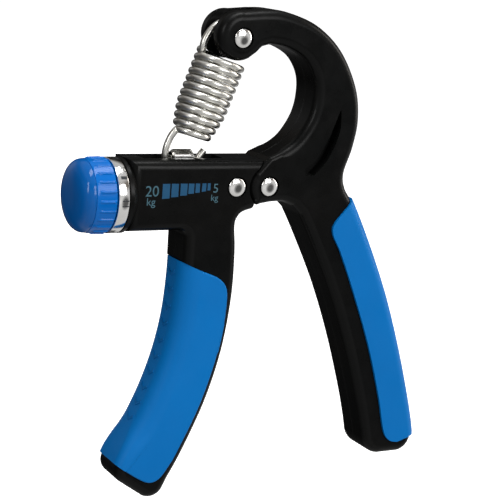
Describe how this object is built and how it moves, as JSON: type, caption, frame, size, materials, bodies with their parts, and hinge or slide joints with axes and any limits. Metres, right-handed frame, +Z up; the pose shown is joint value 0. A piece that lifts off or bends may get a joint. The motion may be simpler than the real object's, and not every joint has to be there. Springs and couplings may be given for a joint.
{
  "type": "hand grip strengthener",
  "caption": "Hand grip strengthener: two padded handles hinged against a tension spring whose lower end moves along a screw adjuster turned by a knob.",
  "frame": {"origin": "centre of the bounding box's bottom face, with both handles at rest", "axes": "+Z up towards the hook, -X towards the adjuster knob, Y along the rivets"},
  "size_m": [0.1364, 0.025, 0.1625],
  "materials": {
    "frame_shell": "semi-gloss black moulded plastic",
    "lever_shell": "semi-gloss black moulded plastic",
    "grip": "satin blue soft rubber",
    "knob": "polished blue plastic",
    "rivet": "polished plated steel",
    "ring": "polished plated steel",
    "spring_wire": "bright drawn wire",
    "anchor": "polished plated steel",
    "steel_parts": "plain turned or stamped steel"
  },
  "bodies": {
    "rear_frame": {"frame_half_near": "frame_shell", "frame_half_far": "frame_shell", "rear_grip": "grip", "pivot_rivet_pin": "rivet", "pivot_rivet_sleeve": "rivet", "pivot_washer_near": "steel_parts", "pivot_washer_far": "steel_parts", "spring_rivet_pin": "rivet", "spring_rivet_sleeve": "rivet", "spring_bush": "steel_parts"},
    "lever": {"lever_half_near": "lever_shell", "lever_half_far": "lever_shell", "front_grip": "grip", "hinge_link": "steel_parts", "link_rivet_pin": "rivet", "link_rivet_sleeve": "rivet", "scale_ring": "ring", "thrust_washer": "steel_parts", "retaining_ring": "steel_parts"},
    "knob": {"knob_shell": "knob", "knob_cap": "knob", "knob_screw": "steel_parts", "adjuster_screw": "steel_parts"},
    "slider": {"slider_nut": "steel_parts", "anchor_barrel": "anchor"},
    "spring": {"spring": "spring_wire"},
    "spring_foot": {"spring_foot": "spring_wire"}
  },
  "joints": [
    {"name": "lever_squeeze", "type": "hinge", "parent": "rear_frame", "child": "lever", "pos_m": [-0.00044, 0, 0.1049], "axis": [0, -1, 0], "range_deg": [0, 30]},
    {"name": "knob_turn", "type": "hinge", "parent": "lever", "child": "knob", "pos_m": [-0.00044, 0, 0.1016], "axis": [-1, 0, 0], "range_deg": [-900, 900]},
    {"name": "slider_travel", "type": "slide", "parent": "lever", "child": "slider", "axis": [1, 0, 0], "range_m": [-0.00501, 0.00501]},
    {"name": "spring_swing", "type": "hinge", "parent": "rear_frame", "child": "spring", "pos_m": [-0.02944, 0, 0.1632], "axis": [0, -1, 0], "range_deg": [-5.8, 5.8]},
    {"name": "spring_stretch", "type": "slide", "parent": "spring", "child": "spring_foot", "axis": [-0.0704, 0, -0.9975], "range_m": [0, 0.0154], "deforming": ["spring", "spring_foot"]}
  ],
  "couplings": [
    {"joint": "slider_travel", "follows": "knob_turn", "m_per_rad": 0.00031831},
    {"joint": "spring_swing", "follows": "knob_turn", "ratio": 0.0063662},
    {"joint": "spring_stretch", "follows": "lever_squeeze", "m_per_rad": 0.029}
  ]
}
